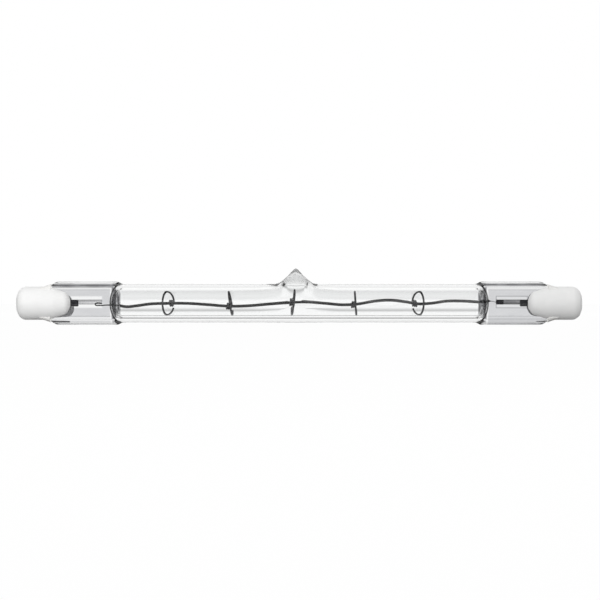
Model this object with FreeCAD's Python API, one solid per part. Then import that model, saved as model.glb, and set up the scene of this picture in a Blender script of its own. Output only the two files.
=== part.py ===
"""Linear halogen bulb: a double-ended quartz lamp with recessed-contact ceramic caps.

The lamp lies along X and stands on the lower rails of its two press seals, with the
exhaust tip up. The origin is on that resting plane, below the middle of the lamp.
All sizes are in millimetres. The two ends are built once, for the +X side, and mirrored.
"""

import math
import os

from FreeCAD import Vector
import Part

# Overall
OVERALL_LENGTH = 117.6

# Round quartz tube
TUBE_DIAMETER = 8.1
TUBE_WALL = 1.35
TUBE_CROWN = 1.5
BORE_END_INSET = 0.55
BORE_TAPER = 1.5
BORE_END_DIAMETER = 1.6

# Press seals: a flat web between two thicker rails
SEAL_LENGTH = 13.75
SEAL_END_INSET = 7.3
SEAL_WIDTH = 9.0
WEB_THICKNESS = 2.4
RAIL_THICKNESS = 3.2
RAIL_HEIGHT = 0.8
RAIL_SLOPE = 0.9
SEAL_EDGE_RADIUS = 0.35
SEAL_CORNER_RADIUS = 0.6
SEAL_OVERLAP = 0.6

# Sealed-off exhaust tip on top of the tube
TIP_OFFSET = -0.7
TIP_HEIGHT = 3.25
TIP_DIAMETER = 4.5
TIP_NECK_HEIGHT = 0.8
TIP_NOSE_RADIUS = 0.9
TIP_FILLET = 0.7
TIP_FILLET_LIMIT = 0.9
EXHAUST_BORE_DIAMETER = 3.0
TIP_WALL = 1.5

# Ceramic end caps
CAP_DIAMETER = 6.9
CAP_LENGTH = 11.25
CAP_FACE_DIAMETER = 3.4
CAP_FACE_BREAK_DIAMETER = 5.4
CAP_FACE_BREAK = 0.42
CAP_FACE_TAPER = 1.2
CAP_NOSE_DIAMETER = 2.6
CAP_NOSE_BREAK_DIAMETER = 5.3
CAP_NOSE_BREAK = 1.65
CAP_NOSE_TAPER = 3.6
RECESS_DIAMETER = 3.0
RECESS_DEPTH = 1.7
LEAD_HOLE_CLEARANCE = 0.1

# Contact buttons, seated below the recesses
CONTACT_DIAMETER = 2.5
CONTACT_THICKNESS = 0.8
CONTACT_SEAT_CLEARANCE = 0.05

# Cement between the caps and the press seals
CEMENT_LAYER = 0.2
CEMENT_PAD = 0.3
CEMENT_BEAD = 1.1

# Molybdenum sealing foils
FOIL_INSET = 3.25
FOIL_LENGTH = 7.5
FOIL_WIDTH = 1.0
FOIL_RISE = 0.25
FOIL_THICKNESS = 0.05
FOIL_END_GAP = 0.1

# Lead wires, flattened to paddles where they are welded on the foils
INNER_LEAD_DIAMETER = 0.36
INNER_PADDLE_LENGTH = 1.5
INNER_PADDLE_WIDTH = 1.0
INNER_PADDLE_THICKNESS = 0.2
OUTER_LEAD_DIAMETER = 0.8
OUTER_PADDLE_LENGTH = 2.4
OUTER_PADDLE_WIDTH = 1.4
OUTER_PADDLE_THICKNESS = 0.3
PADDLE_ROOT = 0.5

# Sides of the thin round sections, which are drawn as polygons
INNER_LEAD_SIDES = 8
COIL_SIDES = 8
SUPPORT_WIRE_SIDES = 6
SUPPORT_HELIX_SIDES = 10

# Coiled filament, shown by the outside of its coil
COIL_DIAMETER = 0.54
COIL_END_INSET = 0.15
COIL_WAVE = 0.6

COIL_END_STRAIGHT = 0.8
COIL_END_BOW = 2.6

# Heights of the coil above the lamp's axis, as shares of its wave: at each end, beside each
# end, halfway along each end span, at the supports, and halfway between the supports
COIL_END_SHARES = (-0.58, 0.0)
COIL_END_BOW_SHARES = (-1.03, 0.25)
COIL_END_SPAN_SHARES = (-0.5, 0.7)
COIL_SUPPORT_SHARES = (0.2, -0.93, 0.37, -0.5, -0.2)
COIL_SPAN_SHARES = (-0.23, -0.4, 0.2, 1.0)

# Wire supports: a springy ring in the bore, an arm, and a small helix round the coil,
# which is shown by the outside of its turns
SUPPORT_END_SPAN = 11.6
SUPPORT_SHIFT = -1.25
SUPPORT_WIRE_DIAMETER = 0.32
SUPPORT_RING_CLEARANCE = 0.13
SUPPORT_RING_SWEEP = 320.0
SUPPORT_RING_STEPS = 16
SUPPORT_HELIX_LENGTH = 1.15
SUPPORT_COIL_CLEARANCE = 0.08
SUPPORT_YAWS = (27.0, 3.0, -4.0, 2.0, -27.0)
SUPPORT_LEANS = (0.0, 9.0, -7.0, 4.0, 0.0)
SUPPORT_HELIX_RUNS = (1, -1, -1, -1, -1)

# Worked-out places
AXIS_HEIGHT = max(SEAL_WIDTH, TUBE_DIAMETER) / 2
TUBE_RADIUS = TUBE_DIAMETER / 2
BORE_RADIUS = TUBE_RADIUS - TUBE_WALL
CAP_RADIUS = CAP_DIAMETER / 2
CAP_END = OVERALL_LENGTH / 2
SEAL_END = CAP_END - SEAL_END_INSET
TUBE_END = SEAL_END - SEAL_LENGTH
BORE_END = TUBE_END - BORE_END_INSET
CAP_NOSE = CAP_END - CAP_LENGTH
SLOT_WIDTH = WEB_THICKNESS + 2 * CEMENT_LAYER
SLOT_FLOOR = SEAL_END + CEMENT_PAD
CONTACT_FACE = CAP_END - RECESS_DEPTH
CONTACT_SEAT = CONTACT_FACE - CONTACT_THICKNESS
FOIL_START = TUBE_END + FOIL_INSET
FOIL_END = FOIL_START + FOIL_LENGTH
COIL_END = TUBE_END - COIL_END_INSET
SUPPORT_SPANS = len(COIL_SPAN_SHARES)
SUPPORT_PITCH = 2 * (COIL_END - SUPPORT_END_SPAN) / SUPPORT_SPANS

# The sweep's code for corners that are mitred
MITRED = 1

X_AXIS = Vector(1, 0, 0)
Y_AXIS = Vector(0, 1, 0)
Z_AXIS = Vector(0, 0, 1)
AXIS_POINT = Vector(0, 0, AXIS_HEIGHT)


def on_axis(x, height=0.0):
    """The point at x on the lamp's axis, or that far above it."""
    return AXIS_POINT + Vector(x, 0, height)


def segment(start, end):
    return Part.LineSegment(start, end).toShape()


def arc(start, middle, end):
    return Part.Arc(start, middle, end).toShape()


def revolved(outline, base, direction):
    """The solid that a closed outline sweeps round an axis."""
    return Part.Face(outline).revolve(base, direction, 360)


def polygon(points):
    return Part.makePolygon([*points, points[0]])


def regular_polygon(centre, first, second, radius, sides):
    """A closed outline with its corners evenly round a circle, in the plane of two directions."""
    points = []
    for i in range(sides):
        angle = 2 * math.pi * i / sides
        points.append(centre + (first * math.cos(angle) + second * math.sin(angle)) * radius)
    return polygon(points)


def mitred_sweep(section, points):
    """The solid that a section sweeps along straight runs, mitred where they meet."""
    return Part.makePolygon(points).makePipeShell([section], True, True, MITRED)


def closed_outline(edges):
    return Part.Wire(Part.__sortEdges__(edges))


def rounded_outline(points, radii):
    """A closed outline through points, each corner rounded by its own radius, or left sharp at 0."""
    edges = []
    ends = []
    for i, corner in enumerate(points):
        before = (points[i - 1] - corner).normalize()
        after = (points[(i + 1) % len(points)] - corner).normalize()
        half = before.getAngle(after) / 2
        reach = radii[i] / math.tan(half)
        first = corner + before * reach
        last = corner + after * reach
        if radii[i] > 0:
            inward = (before + after).normalize()
            middle = corner + inward * (radii[i] / math.sin(half) - radii[i])
            edges.append(arc(first, middle, last))
        ends.append((first, last))
    for i, (_, last) in enumerate(ends):
        edges.append(segment(last, ends[(i + 1) % len(ends)][0]))
    return closed_outline(edges)


def cylinder_x(radius, start, end, height=0.0):
    """A cylinder along X from start to end."""
    return Part.makeCylinder(radius, end - start, on_axis(start, height), X_AXIS)


def box_between(low, high):
    size = high - low
    return Part.makeBox(size.x, size.y, size.z, low)


def both_sides(build):
    """The +X solid as built, and the -X one as its mirror image."""
    return {"right": build, "left": build.mirror(Vector(0, 0, 0), X_AXIS)}


def tube_body():
    """The tube's outside: a cylinder on the lamp's axis with a spherical crown on each end."""
    sphere = (TUBE_RADIUS ** 2 + TUBE_CROWN ** 2) / (2 * TUBE_CROWN)
    half_angle = math.atan2(TUBE_RADIUS, sphere - TUBE_CROWN) / 2
    crown_end = TUBE_END + TUBE_CROWN
    middle_x = crown_end - sphere + sphere * math.cos(half_angle)
    middle_z = sphere * math.sin(half_angle)
    edges = [
        arc(on_axis(-crown_end), on_axis(-middle_x, middle_z), on_axis(-TUBE_END, TUBE_RADIUS)),
        segment(on_axis(-TUBE_END, TUBE_RADIUS), on_axis(TUBE_END, TUBE_RADIUS)),
        arc(on_axis(TUBE_END, TUBE_RADIUS), on_axis(middle_x, middle_z), on_axis(crown_end)),
        segment(on_axis(crown_end), on_axis(-crown_end)),
    ]
    return revolved(closed_outline(edges), AXIS_POINT, X_AXIS)


def bore_void():
    """The tube's bore, which narrows at each end where the quartz was pressed together."""
    taper_end = BORE_END + BORE_TAPER
    profile = [
        on_axis(-taper_end),
        on_axis(-taper_end, BORE_END_DIAMETER / 2),
        on_axis(-BORE_END, BORE_RADIUS),
        on_axis(BORE_END, BORE_RADIUS),
        on_axis(taper_end, BORE_END_DIAMETER / 2),
        on_axis(taper_end),
    ]
    return revolved(polygon(profile), AXIS_POINT, X_AXIS)


def seal_body():
    """The right press seal: its section drawn along X, trimmed to its outline from the front."""
    start = TUBE_END - SEAL_OVERLAP
    half_width = SEAL_WIDTH / 2
    rail_foot = half_width - RAIL_HEIGHT
    slope_foot = rail_foot - RAIL_SLOPE
    quarter = [
        (WEB_THICKNESS / 2, slope_foot, 0),
        (RAIL_THICKNESS / 2, rail_foot, 0),
        (RAIL_THICKNESS / 2, half_width, SEAL_EDGE_RADIUS),
    ]
    half = quarter + [(-y, z, radius) for y, z, radius in reversed(quarter)]
    around = half + [(-y, -z, radius) for y, z, radius in half]
    points = [on_axis(start) + Vector(0, y, z) for y, z, _ in around]
    section = Part.Face(rounded_outline(points, [radius for _, _, radius in around]))
    bar = section.extrude(X_AXIS * (SEAL_END - start))

    depth = RAIL_THICKNESS * Y_AXIS
    corners = [
        on_axis(start, -half_width) - depth,
        on_axis(SEAL_END, -half_width) - depth,
        on_axis(SEAL_END, half_width) - depth,
        on_axis(start, half_width) - depth,
    ]
    outline = Part.Face(rounded_outline(corners, [SEAL_CORNER_RADIUS] * len(corners)))
    return bar.common(outline.extrude(depth * 2))


def tip_body():
    """The exhaust tip's outside: a neck run down into the tube's wall, and a cone with a round nose."""
    out = Vector(TIP_DIAMETER / 2, 0, 0)
    foot = on_axis(TIP_OFFSET, BORE_RADIUS)
    shoulder = on_axis(TIP_OFFSET, TUBE_RADIUS + TIP_NECK_HEIGHT) + out
    apex = on_axis(TIP_OFFSET, TUBE_RADIUS + TIP_HEIGHT)
    nose_centre = apex - Z_AXIS * TIP_NOSE_RADIUS
    slant = shoulder - nose_centre
    tangent_angle = math.atan2(slant.z, slant.x) + math.acos(TIP_NOSE_RADIUS / slant.Length)

    def on_nose(angle):
        return nose_centre + Vector(math.cos(angle), 0, math.sin(angle)) * TIP_NOSE_RADIUS

    cone_top = on_nose(tangent_angle)
    edges = [
        arc(apex, on_nose((math.pi / 2 + tangent_angle) / 2), cone_top),
        segment(cone_top, shoulder),
        segment(shoulder, foot + out),
        segment(foot + out, foot),
        segment(foot, apex),
    ]
    return revolved(closed_outline(edges), foot, Z_AXIS)


def tip_void():
    """What is left of the exhaust bore inside the tip: drawn to a point, and open to the tube's bore."""
    out = Vector(EXHAUST_BORE_DIAMETER / 2, 0, 0)
    foot = on_axis(TIP_OFFSET, BORE_RADIUS / 2)
    apex = on_axis(TIP_OFFSET, TUBE_RADIUS + TIP_HEIGHT - TIP_WALL)
    return revolved(polygon([foot, foot + out, apex]), foot, Z_AXIS)


def lies_on_tube(edge):
    """True for a curved edge whose points all lie on the tube's outside, near the tip."""
    points = edge.discretize(7)
    near = all(abs(p.x - TIP_OFFSET) < TIP_DIAMETER and p.z > AXIS_HEIGHT for p in points)
    radii = [math.hypot(p.y, p.z - AXIS_HEIGHT) for p in points]
    on_surface = all(abs(r - TUBE_RADIUS) < 1e-3 for r in radii)
    return near and on_surface and edge.Curve.TypeId != "Part::GeomLine"


def envelope(embedded):
    """The quartz: tube, two seals and tip as one piece, hollow, with the sealed-in metal cut out."""
    tube = tube_body().fuse(tip_body())
    flare = [e for e in tube.Edges if not e.Degenerated and lies_on_tube(e)]
    tube = tube.makeFillet(min(TIP_FILLET, TIP_FILLET_LIMIT * TIP_NECK_HEIGHT), flare)
    outside = tube.fuse(list(both_sides(seal_body()).values())).removeSplitter()
    void = bore_void().fuse(tip_void())
    return outside.cut([void, *embedded])


def foil():
    """The right sealing foil, a thin strip in the seal's middle plane."""
    low = on_axis(FOIL_START, FOIL_RISE) - Vector(0, FOIL_THICKNESS, FOIL_WIDTH) / 2
    return box_between(low, low + Vector(FOIL_LENGTH, FOIL_THICKNESS, FOIL_WIDTH))


def paddle(start, end, width, thickness, height):
    """A flattened wire end that lies on the foil's front face."""
    front = -FOIL_THICKNESS / 2 - thickness
    low = on_axis(start, height) + Vector(0, front, -width / 2)
    return box_between(low, low + Vector(end - start, thickness, width))


def inner_lead(height):
    """The right inner lead: a wire in the bore, flattened on the foil."""
    start = on_axis(COIL_END, height)
    root = FOIL_START - FOIL_END_GAP
    section = regular_polygon(start, Y_AXIS, Z_AXIS, INNER_LEAD_DIAMETER / 2, INNER_LEAD_SIDES)
    wire = Part.Face(section).extrude(X_AXIS * (root - COIL_END))
    flat = paddle(
        root - PADDLE_ROOT,
        FOIL_START + INNER_PADDLE_LENGTH,
        INNER_PADDLE_WIDTH,
        INNER_PADDLE_THICKNESS,
        height,
    )
    return wire.fuse(flat).removeSplitter()


def outer_lead():
    """The right outer lead: flattened on the foil, then round through the cap to the contact."""
    root = FOIL_END + FOIL_END_GAP
    wire = cylinder_x(OUTER_LEAD_DIAMETER / 2, root, CONTACT_SEAT)
    flat = paddle(
        FOIL_END - OUTER_PADDLE_LENGTH,
        root + PADDLE_ROOT,
        OUTER_PADDLE_WIDTH,
        OUTER_PADDLE_THICKNESS,
        0.0,
    )
    return wire.fuse(flat).removeSplitter()


def contact():
    """The right contact button, whose back meets the outer lead."""
    return cylinder_x(CONTACT_DIAMETER / 2, CONTACT_SEAT, CONTACT_FACE)


def cap_blank():
    """The right cap before it is slotted and bored: a bar with two-step tapers at its nose and face."""
    profile = [
        on_axis(CAP_NOSE),
        on_axis(CAP_NOSE, CAP_NOSE_DIAMETER / 2),
        on_axis(CAP_NOSE + CAP_NOSE_BREAK, CAP_NOSE_BREAK_DIAMETER / 2),
        on_axis(CAP_NOSE + CAP_NOSE_TAPER, CAP_RADIUS),
        on_axis(CAP_END - CAP_FACE_TAPER, CAP_RADIUS),
        on_axis(CAP_END - CAP_FACE_BREAK, CAP_FACE_BREAK_DIAMETER / 2),
        on_axis(CAP_END, CAP_FACE_DIAMETER / 2),
        on_axis(CAP_END),
    ]
    return revolved(polygon(profile), AXIS_POINT, X_AXIS)


def slot():
    """The slot across the right cap that takes the press seal and its cement."""
    half = Vector(0, SLOT_WIDTH / 2, SEAL_WIDTH)
    return box_between(on_axis(CAP_NOSE) - half, on_axis(SLOT_FLOOR) + half)


def cap():
    """The right ceramic cap: the slotted blank with its recess, contact seat and lead hole."""
    seat = CONTACT_DIAMETER / 2 + CONTACT_SEAT_CLEARANCE
    lead_hole = OUTER_LEAD_DIAMETER / 2 + LEAD_HOLE_CLEARANCE
    bores = [
        cylinder_x(RECESS_DIAMETER / 2, CONTACT_FACE, CAP_END),
        cylinder_x(seat, CONTACT_SEAT, CONTACT_FACE),
        cylinder_x(lead_hole, SLOT_FLOOR, CONTACT_SEAT),
    ]
    return cap_blank().cut([slot(), *bores])


def cement():
    """The right cap's cement: it fills the slot round the seal, with a bead at the seal's end."""
    bead_half = Vector(0, SLOT_WIDTH / 2, 0)
    beads = []
    for side in (1, -1):
        corners = [
            on_axis(SEAL_END, side * CAP_RADIUS / 2),
            on_axis(SEAL_END, side * (SEAL_WIDTH / 2 - SEAL_CORNER_RADIUS)),
            on_axis(SEAL_END + CEMENT_BEAD, side * CAP_RADIUS),
            on_axis(SEAL_END + CEMENT_BEAD, side * CAP_RADIUS / 2),
        ]
        outline = polygon([corner - bead_half for corner in corners])
        beads.append(Part.Face(outline).extrude(bead_half * 2))
    fill = slot().common(cap_blank()).fuse(beads)
    return fill.cut([cap(), seal_body(), outer_lead()]).removeSplitter()


def support_place(index):
    """The distance along the lamp of one of the evenly spaced supports."""
    return SUPPORT_SHIFT + (index - SUPPORT_SPANS / 2) * SUPPORT_PITCH


def coil_corners():
    """The points that the coil's wavy line bends at, from the left end to the right."""
    straight = COIL_END - COIL_END_STRAIGHT
    bow = COIL_END - COIL_END_BOW
    first = support_place(0)
    last = support_place(SUPPORT_SPANS)
    places = [
        (-COIL_END, COIL_END_SHARES[0]),
        (-straight, COIL_END_SHARES[0]),
        (-bow, COIL_END_BOW_SHARES[0]),
        ((first - bow) / 2, COIL_END_SPAN_SHARES[0]),
        (first, COIL_SUPPORT_SHARES[0]),
    ]
    for i in range(SUPPORT_SPANS):
        places.append((support_place(i + 0.5), COIL_SPAN_SHARES[i]))
        places.append((support_place(i + 1), COIL_SUPPORT_SHARES[i + 1]))
    places += [
        ((last + bow) / 2, COIL_END_SPAN_SHARES[1]),
        (bow, COIL_END_BOW_SHARES[1]),
        (straight, COIL_END_SHARES[1]),
        (COIL_END, COIL_END_SHARES[1]),
    ]
    return [on_axis(x, share * COIL_WAVE) for x, share in places]


def filament():
    """The coil's outside as a many-sided rod."""
    corners = coil_corners()
    section = regular_polygon(corners[0], Y_AXIS, Z_AXIS, COIL_DIAMETER / 2, COIL_SIDES)
    return mitred_sweep(section, corners)


def support(index):
    """One wire support: arm and ring in one tilted plane, and a helix that the coil runs through."""
    half_wire = SUPPORT_WIRE_DIAMETER / 2
    ring_radius = BORE_RADIUS - SUPPORT_RING_CLEARANCE - half_wire
    grip_radius = COIL_DIAMETER / 2 + SUPPORT_COIL_CLEARANCE
    place = support_place(index)
    yaw = math.radians(SUPPORT_YAWS[index])
    lean = math.radians(SUPPORT_LEANS[index])
    across = Vector(math.sin(yaw), math.cos(yaw), 0)
    normal = across.cross(Vector(-math.sin(lean), 0, math.cos(lean))).normalize()
    up = normal.cross(across)

    def in_plane(u, v):
        return on_axis(place) + across * u + up * v

    arm_height = COIL_SUPPORT_SHARES[index] * COIL_WAVE / up.z
    arm_end = in_plane((grip_radius + half_wire) / math.cos(yaw), arm_height)
    ring_start = math.asin(arm_height / ring_radius)
    path = [arm_end]
    for i in range(SUPPORT_RING_STEPS + 1):
        angle = ring_start + math.radians(SUPPORT_RING_SWEEP) * i / SUPPORT_RING_STEPS
        path.append(in_plane(ring_radius * math.cos(angle), ring_radius * math.sin(angle)))
    wire = mitred_sweep(regular_polygon(arm_end, up, normal, half_wire, SUPPORT_WIRE_SIDES), path)

    side = SUPPORT_HELIX_RUNS[index]
    corners = coil_corners()
    corner = min(range(len(corners)), key=lambda i: abs(corners[i].x - place))
    run = (corners[corner + side] - corners[corner]).normalize()
    to_start = (arm_end.x - side * half_wire - place) / run.x
    grip_start = corners[corner] + run * to_start
    around = (Y_AXIS, run.cross(Y_AXIS).normalize())
    to_flat = 1 / math.cos(math.pi / SUPPORT_HELIX_SIDES)
    outside, hole = [
        Part.Face(regular_polygon(grip_start, *around, radius, SUPPORT_HELIX_SIDES))
        .extrude(run * SUPPORT_HELIX_LENGTH)
        for radius in (grip_radius + SUPPORT_WIRE_DIAMETER, grip_radius * to_flat)
    ]
    return wire.fuse(outside).cut(hole).removeSplitter()


def nodes():
    """Every piece of the lamp by name."""
    foils = both_sides(foil())
    inner_leads = {
        "left": inner_lead(COIL_END_SHARES[0] * COIL_WAVE).mirror(Vector(0, 0, 0), X_AXIS),
        "right": inner_lead(COIL_END_SHARES[1] * COIL_WAVE),
    }
    outer_leads = both_sides(outer_lead())
    embedded = [*foils.values(), *inner_leads.values(), *outer_leads.values()]
    quartz = envelope(embedded)
    pieces = {
        "quartz_envelope": quartz,
        "filament_coil": filament(),
    }
    for i in range(len(COIL_SUPPORT_SHARES)):
        pieces[f"filament_support_{i + 1}"] = support(i)
    ends = {
        "seal_foil": foils,
        "inner_lead": inner_leads,
        "outer_lead": outer_leads,
        "contact": both_sides(contact()),
        "end_cap": both_sides(cap()),
        "cap_cement": both_sides(cement()),
    }
    for name, pair in ends.items():
        for side, shape in pair.items():
            pieces[f"{side}_{name}"] = shape
    return pieces


os.makedirs("parts", exist_ok=True)
for name, shape in nodes().items():
    shape.exportStep(f"parts/{name}.step")
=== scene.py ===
"""Looks of the linear halogen bulb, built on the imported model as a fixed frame.

Shapes are worked out in millimetres about the lamp's axis, with X along the lamp, Y away from
the viewer and Z up, and are turned to metres when a mesh is made.
"""

import math

import bmesh
import bpy
import numpy as np
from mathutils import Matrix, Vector


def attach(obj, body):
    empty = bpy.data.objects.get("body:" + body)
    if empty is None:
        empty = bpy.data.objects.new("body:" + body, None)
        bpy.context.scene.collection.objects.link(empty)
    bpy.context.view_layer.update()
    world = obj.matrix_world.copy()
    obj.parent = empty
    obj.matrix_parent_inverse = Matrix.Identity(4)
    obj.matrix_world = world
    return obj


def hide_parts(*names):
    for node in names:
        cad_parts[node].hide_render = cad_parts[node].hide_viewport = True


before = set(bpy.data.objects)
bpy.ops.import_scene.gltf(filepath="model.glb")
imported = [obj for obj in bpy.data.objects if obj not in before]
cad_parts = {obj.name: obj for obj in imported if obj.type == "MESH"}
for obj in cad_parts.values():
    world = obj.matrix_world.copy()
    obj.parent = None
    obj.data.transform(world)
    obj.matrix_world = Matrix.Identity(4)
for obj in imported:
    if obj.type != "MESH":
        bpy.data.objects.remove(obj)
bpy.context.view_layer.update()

# Units, and the radius at which a turned profile meets the axis
METRE = 0.001
NEAR_AXIS = 0.001

# Angles past which edges are shaded sharp: quartz, thin pieces, flat leads and turned pieces
QUARTZ_SHARP = 50.0
THIN_SHARP = 60.0
LEAD_SHARP = 50.0
TURNED_SHARP = 40.0

# Lamp's axis above the resting plane, and the ends of its main stretches along X
AXIS_HEIGHT = 4.5
TUBE_END = 37.75
SEAL_END = 51.75
CAP_END = 58.8
CAP_NOSE = 47.55
COIL_END = 37.6
FOIL_END = 48.5
CONTACT_BACK = 56.3

# Quartz tube and its bore
TUBE_RADIUS = 4.04
TUBE_CROWN = 1.5
CROWN_ROUNDING = 0.5
BORE_RADIUS = 2.7
BORE_END = 37.55
BORE_SLOPE = 2.0
BORE_TIP = 38.7
BORE_ROUNDING = 0.5

# Press seals: a web between two rails, each with a bevel and a thin flash outside
SEAL_HALF_WIDTH = 4.5
WEB_HALF = 1.18
RAIL_HALF = 1.44
FLASH_HALF = 0.65
RISE_FOOT = 2.6
RISE_WIDTH = 1.2
BEVEL_FOOT = 3.5
BEVEL_WIDTH = 0.7
SEAL_START = 37.15
SEAL_EDGE_ROUNDING = 0.3
SEAL_CORNER_ROUNDING = 1.9
SEAL_START_ROUNDING = 0.8
SEAL_BLEND = 0.55

# A clearer patch of the web over each foil
PAD_MIDDLE = 44.3
PAD_REACH = 3.25
PAD_RISE = 0.25
PAD_HALF = 1.2

# Tint of the quartz: pressed web and pad; painted shade on the shoulders, with darker painted rims, and
# on the bevels of the rails
PRESSED_START = 39.3
PRESSED_WIDTH = 3.0
PRESSED_EDGE = 0.2
WEB_SHADE = 0.4
PAD_SHADES = (0.2, 0.75)
PAD_LINE_SHADE = 0.35
# Painted shade on the tube's shoulders, with darker painted rims across them
SHOULDER_MIDDLE = 38.5
SHOULDER_REACH = 0.5
SHOULDER_WIDTH = 3.4
SHOULDER_SHADE = 0.93
RIM_MIDDLES = (38.14, 38.6)
RIM_REACH = 0.24
RIM_EDGE = 0.1
RIM_WIDTH = 2.9
# Painted shade on the rails: dark lines on the upper bevels and the lower left bevel, and darker lower
# rails
BEVEL_MIDDLES = (3.76, 3.85)
BEVEL_REACH = 0.23
BEVEL_EDGE = 0.07
BEVEL_START = 38.3
LOW_BEVEL_START = 47.6
LOW_BEVEL_MIDDLE = 3.88
LOW_BEVEL_REACH = 0.13
LOW_RAIL_SHADES = (0.12, 0.4)

# Exhaust tip
TIP_OFFSET = -0.7
TIP_REACH = 6.31
TIP_SLOPE = 0.81
TIP_BLUNTNESS = 0.45
TIP_NECK = 2.5
TIP_NECK_ROUNDING = 0.6
TIP_FOOT = 2.3
TIP_BLEND = 2.2
TIP_VOID_REACH = 6.05
TIP_VOID_SLOPE = 0.9
TIP_VOID_BLUNTNESS = 0.5
TIP_VOID_NECK = 2.5
TIP_VOID_FOOT = 0.0
TIP_VOID_BLEND = 2.2

# Fineness of the quartz: rays across the lamp, and steps between marks along it
RAY_REACH = 9.0
RAY_HALVINGS = 40
RAY_START = 3.2
FACE_RAYS = 56
TOP_RAYS = 72
TOP_CROWDING = 1.3
UNDER_RAYS = 48
BORE_RAYS = 144
BORE_CROWDING = 1.5
TIP_SPAN = 5.8
TIP_EVENNESS = 0.6
TIP_STEPS = 88
TIP_VOID_SPAN = 2.4
TIP_VOID_STEPS = 44
PLAIN_END = 36.0
SEAL_MARGIN = 0.002
BORE_MARGIN = 0.05
OUTSIDE_MARKS = (8.0, PLAIN_END, 41.4, 50.6, SEAL_END - SEAL_MARGIN)
OUTSIDE_STEPS = (8, 54, 24, 11)
VOID_MARKS = (4.0, PLAIN_END, BORE_TIP - BORE_MARGIN)
VOID_STEPS = (8, 27)

# Frost on the tip
FROST_REACH = 4.5
FROST_FOOT = 4.3
FROST_EDGE = 0.25
FROST_ROUGHNESS = (0.2, 0.5)

# Filament coil
COIL_RADIUS = 0.34
COIL_WIRE = 0.07
COIL_PITCH = 0.136
COIL_TURN_STEPS = 11
COIL_WIRE_SIDES = 5
COIL_POINTS = (
    (-COIL_END, -0.45), (-36.0, -0.72), (-34.0, -0.55), (-31.1, -0.16), (-27.25, -0.02), (-23.5, -0.02),
    (-19.4, -0.27), (-14.25, -0.62), (-11.1, -0.56), (-6.1, -0.15), (-1.25, 0.22), (1.5, 0.27),
    (5.6, -0.04), (9.0, -0.33), (11.75, -0.22), (15.6, 0.41), (18.5, 0.63), (22.3, 0.28),
    (24.75, -0.13), (27.3, -0.02), (30.6, 0.42), (34.0, 0.45), (36.8, 0.3), (COIL_END, 0.25),
)

# Wire supports
SUPPORT_PLACES = (-27.25, -14.25, -1.25, 11.75, 24.75)
SUPPORT_YAWS = (27.0, 3.0, -4.0, 2.0, -27.0)
SUPPORT_LEANS = (0.0, 9.0, -7.0, 4.0, 0.0)
SUPPORT_RUNS = (1, -1, -1, -1, -1)
SUPPORT_WIRE = 0.2
SUPPORT_RING = 2.41
SUPPORT_SWEEP = 320.0
SUPPORT_ELBOW = 0.45
SUPPORT_GRIP = 0.55
SUPPORT_GRIP_PITCH = 0.36
SUPPORT_GRIP_TURNS = 2.3
SUPPORT_GRIP_STEPS = 44
SUPPORT_ARM_START = 0.12
SUPPORT_ARM_STEPS = 10
SUPPORT_ELBOW_STEPS = 9
SUPPORT_RING_STEPS = 80

# Round wires: their sides, and how far across a wire may start before its guide is turned
WIRE_SIDES = 10
STEEP_START = 0.9

# Foils, with painted shade along their edges past the body's half-width
FOIL_START = 41.0
FOIL_RISE = 0.25
FOIL_HALF_WIDTH = 0.5
FOIL_HALF_THICKNESS = 0.025
FOIL_EDGE = 0.15
FOIL_CURL = 0.02
FOIL_TILTS = {"left": 6.5, "right": -9.0}
FOIL_BODY = 0.4
FOIL_BODY_EDGE = 0.05
FOIL_STEPS_ACROSS = 15
FOIL_STEPS_ALONG = 12

# Flat leads of a right end: (along, across, height, half-thickness, half-width)
RIGHT_INNER_LEAD = (
    (COIL_END, 0.0, 0.25, 0.2, 0.22), (38.3, 0.0, 0.38, 0.22, 0.34), (39.2, 0.0, 0.46, 0.2, 0.3),
    (39.95, 0.0, 0.44, 0.06, 0.06), (40.4, -0.04, 0.36, 0.05, 0.05), (40.95, -0.12, 0.22, 0.06, 0.06),
    (41.15, -0.12, 0.22, 0.1, 0.48), (42.4, -0.12, 0.22, 0.1, 0.5), (42.55, -0.12, 0.22, 0.08, 0.4),
)
OUTER_LEAD = (
    (45.95, -0.17, 0.0, 0.1, 0.55), (46.1, -0.17, 0.0, 0.14, 0.68), (FOIL_END, -0.17, 0.0, 0.14, 0.68),
    (49.0, -0.1, 0.0, 0.25, 0.5), (49.5, 0.0, 0.0, 0.4, 0.4), (CONTACT_BACK, 0.0, 0.0, 0.4, 0.4),
)
LEAD_SIDES = 20
LEAD_STEPS = 7
LEAD_SQUAREST = 0.5

# Hairpin of the left inner lead: (along, across, height)
HAIRPIN_WIRE = 0.13
HAIRPIN_STEPS = 6
HAIRPIN = (
    (-COIL_END, 0.0, -0.45), (-39.4, 0.0, -0.38), (-40.6, -0.06, -0.42), (-41.0, -0.155, -0.47),
    (-41.6, -0.155, -0.47), (-42.2, -0.155, -0.46), (-42.4, -0.155, -0.36), (-42.45, -0.155, -0.22),
    (-42.4, -0.155, -0.08), (-42.2, -0.155, 0.02), (-41.7, -0.155, 0.04), (-41.1, -0.155, -0.02),
)

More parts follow.
